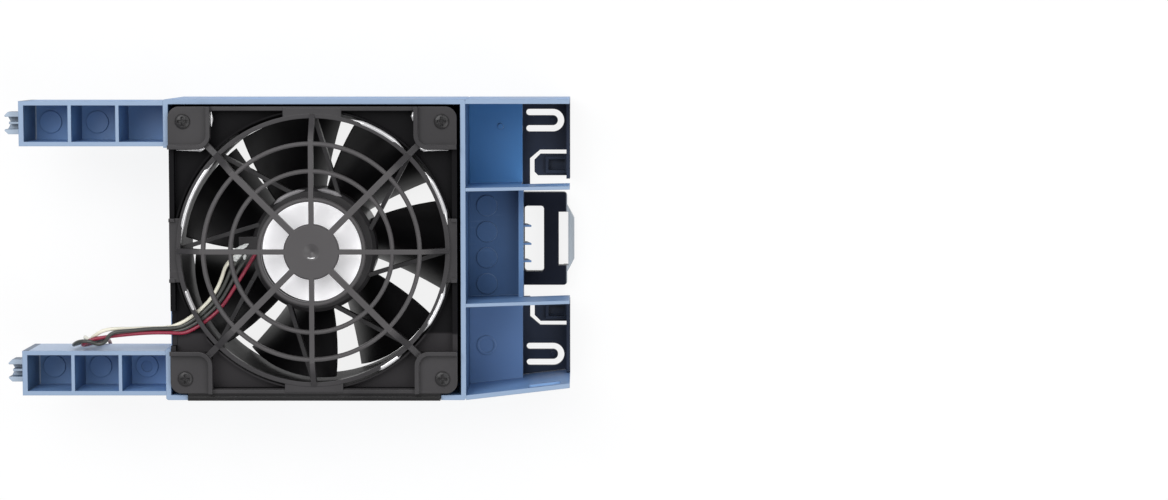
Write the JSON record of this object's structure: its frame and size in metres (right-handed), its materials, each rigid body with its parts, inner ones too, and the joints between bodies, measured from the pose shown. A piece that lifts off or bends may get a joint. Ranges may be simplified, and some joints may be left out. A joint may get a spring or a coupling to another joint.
{
  "type": "server fan module",
  "caption": "Axial cooling fan with finger guard in a moulded carrier bracket with locating arms and a squeeze-release handle.",
  "frame": {"origin": "middle of the module's outline in X and Y, at the back edges of the bracket's walls, on which it lies (Z = 0)", "axes": "+X from the locating pins towards the release handle, +Y across the module, +Z along the fan axis towards the finger guard"},
  "size_m": [0.1832, 0.0966, 0.0475],
  "materials": {
    "bracket_plastic": "satin moulded, light blue",
    "plate_plastic": "fine moulded texture",
    "handle_plastic": "satin moulded",
    "spring_steel": "bright drawn wire",
    "frame_plastic": "glass-filled, fine grain",
    "label_film": "white film, blank",
    "guard_plastic": "satin moulded",
    "rivet_plastic": "smooth",
    "impeller_plastic": "fine grain",
    "cup_steel": "drawn",
    "magnet_ferrite": "bonded ferrite",
    "shaft_steel": "ground",
    "bearing_steel": "polished",
    "tube_brass": "turned",
    "core_steel": "laminated stack",
    "insulator_plastic": "moulded nylon",
    "winding_copper": "enamelled wire",
    "board_laminate": "green solder mask",
    "component_plastic": "moulded packages",
    "wire_black": "insulation",
    "wire_red": "insulation",
    "wire_yellow": "insulation",
    "wire_white": "insulation",
    "connector_plastic": "moulded nylon",
    "contact_metal": "tinned"
  },
  "bodies": {
    "carrier": {"carrier_bracket": "bracket_plastic", "upper_arm": "bracket_plastic", "lower_arm": "bracket_plastic", "handle_section": "bracket_plastic", "end_plate": "plate_plastic", "return_spring": "spring_steel", "fan_frame": "frame_plastic", "motor_mount": "frame_plastic", "motor_label": "label_film", "finger_guard": "guard_plastic", "guard_rivets": "rivet_plastic", "bearing_outer_rings": "bearing_steel", "bearing_balls": "bearing_steel", "bearing_tube": "tube_brass", "stator_core": "core_steel", "stator_insulator": "insulator_plastic", "stator_windings": "winding_copper", "circuit_board": "board_laminate", "board_components": "component_plastic", "lead_black": "wire_black", "lead_red": "wire_red", "lead_yellow": "wire_yellow", "lead_white": "wire_white", "connector_housing": "connector_plastic", "connector_contacts": "contact_metal"},
    "rotor": {"impeller": "impeller_plastic", "rotor_cup": "cup_steel", "magnet_ring": "magnet_ferrite", "rotor_shaft": "shaft_steel", "retaining_clip": "spring_steel", "preload_washer": "spring_steel", "bearing_inner_rings": "bearing_steel"},
    "handle": {"latch_handle": "handle_plastic"}
  },
  "joints": [
    {"name": "rotor_spin", "type": "hinge", "parent": "carrier", "child": "rotor", "pos_m": [0.0082, 0, 0.0175], "axis": [0, 0, 1], "continuous": true},
    {"name": "release_slide", "type": "slide", "parent": "carrier", "child": "handle", "axis": [-1, 0, 0], "range_m": [0, 0.0032], "stiffness_N_per_m": 900, "springref_m": -0.003, "deforming": ["return_spring"]}
  ]
}
